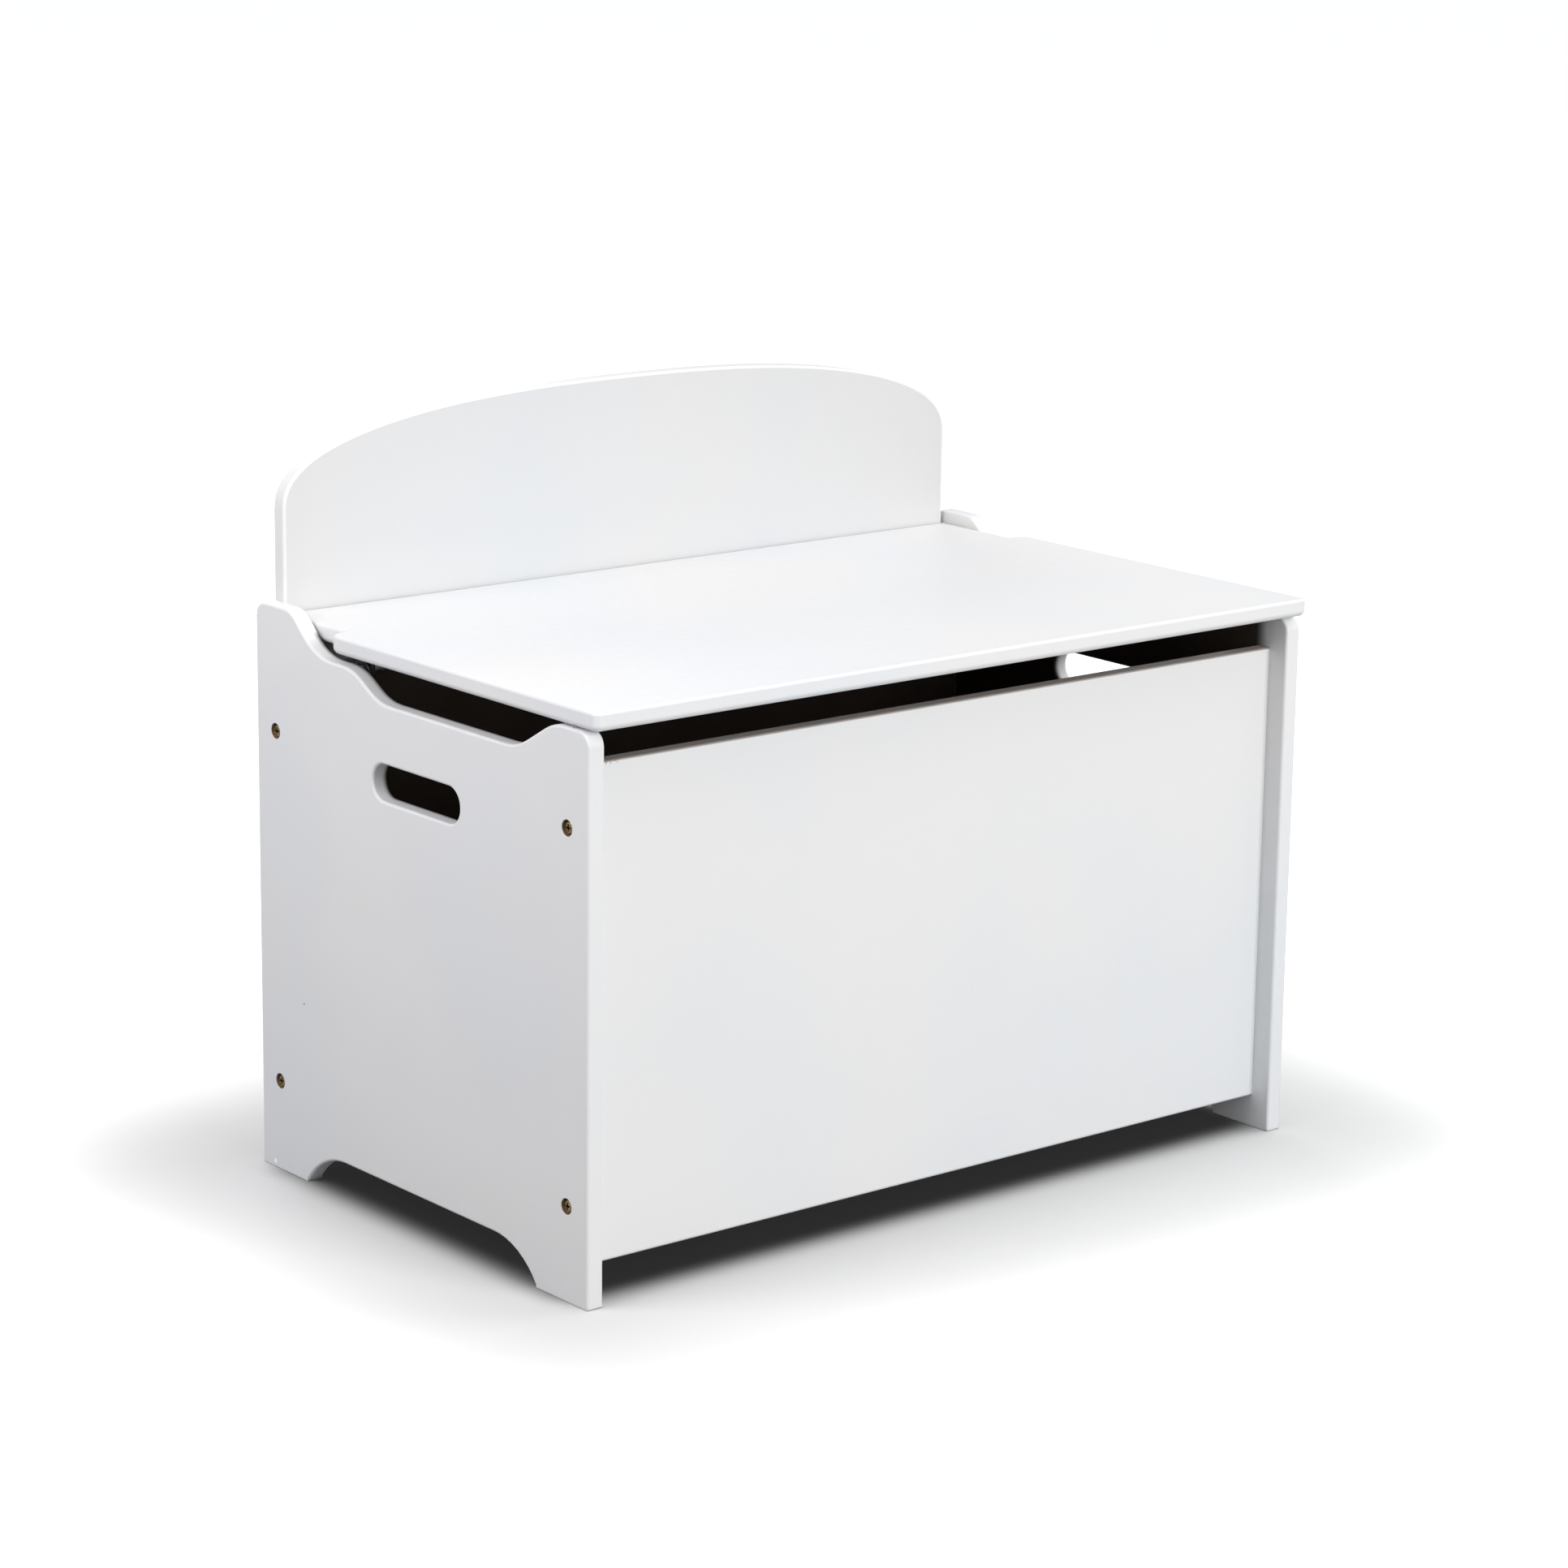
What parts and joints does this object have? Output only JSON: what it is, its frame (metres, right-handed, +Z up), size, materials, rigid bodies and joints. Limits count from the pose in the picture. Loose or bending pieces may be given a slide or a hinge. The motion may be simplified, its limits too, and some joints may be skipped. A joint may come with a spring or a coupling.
{
  "type": "toy box",
  "caption": "White painted toy box with a hinged seat lid, an arched backrest, handle slots, scooped ends and arched feet; the lid turns on hidden pins with a slotted stay.",
  "frame": {"origin": "centre of the whole outline, on the floor", "axes": "+X along the length, +Y from the front to the backrest, +Z up"},
  "size_m": [0.5968, 0.3682, 0.507],
  "materials": {
    "painted_board": "satin white paint on fibreboard",
    "brass_plated_screw": "antiqued yellow plating, slightly dull",
    "bright_steel": "bright steel",
    "zinc_steel": "black zinc plated sheet steel",
    "nylon": "natural nylon",
    "clear_plastic": "soft clear bumper",
    "beech": "fluted beech, glued in"
  },
  "bodies": {
    "box": {"left_end_panel": "painted_board", "right_end_panel": "painted_board", "front_panel": "painted_board", "back_panel": "painted_board", "floor_board": "painted_board", "backrest": "painted_board", "hinge_bush_left": "nylon", "hinge_bush_right": "nylon", "lid_bumpers": "clear_plastic", "end_screws_left": "brass_plated_screw", "end_screws_right": "brass_plated_screw", "end_dowels_left": "beech", "end_dowels_right": "beech", "backrest_screws": "brass_plated_screw", "stay_wall_plate": "zinc_steel", "stay_stud": "bright_steel", "stay_washer": "nylon", "stay_plate_screws": "bright_steel"},
    "lid": {"seat_lid": "painted_board", "hinge_pin_left": "bright_steel", "hinge_pin_right": "bright_steel", "stay_lid_bracket": "zinc_steel", "stay_pivot_rivet": "bright_steel", "stay_bracket_screws": "bright_steel"},
    "stay_arm": {"stay_arm": "zinc_steel"}
  },
  "joints": [
    {"name": "lid_hinge", "type": "hinge", "parent": "box", "child": "lid", "pos_m": [0, 0.15065, 0.36865], "axis": [-1, 0, 0], "range_deg": [0, 95]},
    {"name": "stay_pivot", "type": "hinge", "parent": "lid", "child": "stay_arm", "pos_m": [-0.282, 0.08314, 0.35015], "axis": [-1, 0, 0], "range_deg": [-47.5, 0]}
  ],
  "couplings": [
    {"joint": "stay_pivot", "follows": "lid_hinge", "ratio": -0.5}
  ]
}
